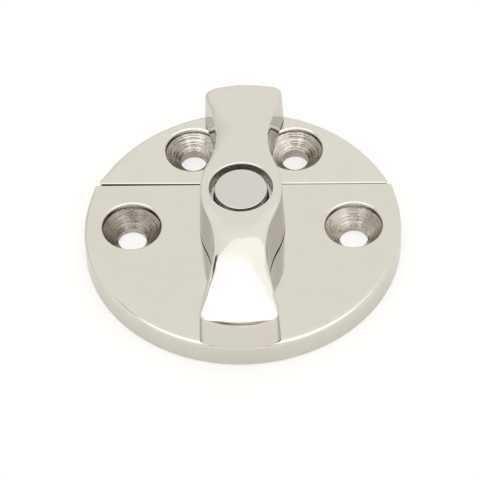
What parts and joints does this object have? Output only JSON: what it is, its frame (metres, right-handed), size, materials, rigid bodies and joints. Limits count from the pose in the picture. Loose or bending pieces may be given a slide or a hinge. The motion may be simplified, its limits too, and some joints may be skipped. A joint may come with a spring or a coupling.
{
  "type": "boat door catch",
  "caption": "Round split door catch for a boat: a screwed base plate with a sprung hourglass turn knob, and a separate countersunk strike plate.",
  "frame": {"origin": "on the pivot axis, at the underside of both plates, which is the bottom centre of the part's box", "axes": "+Z out of the plates, along the pivot pin towards the knob; +Y along the knob as shown, from the base plate towards the strike plate; +X across, along the split"},
  "size_m": [0.06, 0.061, 0.016],
  "materials": {
    "polished_steel": "mirror polished cast stainless steel",
    "pin_steel": "polished turned stainless steel",
    "spring_steel": "drawn stainless spring wire",
    "washer_steel": "stamped stainless steel",
    "bearing_plastic": "plain black acetal"
  },
  "bodies": {
    "base": {"base_plate": "polished_steel", "pivot_pin": "pin_steel", "back_washer": "washer_steel", "bearing_washer": "bearing_plastic", "hold_down_spring": "spring_steel"},
    "slip": {"slip_washer": "washer_steel"},
    "knob": {"turn_knob": "polished_steel"},
    "strike": {"strike_plate": "polished_steel"}
  },
  "joints": [
    {"name": "knob_lift", "type": "slide", "parent": "base", "child": "slip", "axis": [0, 0, 1], "range_m": [0, 0.0015], "stiffness_N_per_m": 2400, "springref_m": -0.0019, "deforming": ["hold_down_spring"]},
    {"name": "knob_turn", "type": "hinge", "parent": "slip", "child": "knob", "pos_m": [0, 0, 0], "axis": [0, 0, 1], "continuous": true},
    {"name": "strike_slide", "type": "slide", "parent": "base", "child": "strike", "axis": [0, 1, 0], "range_m": [0, 0.04]}
  ]
}
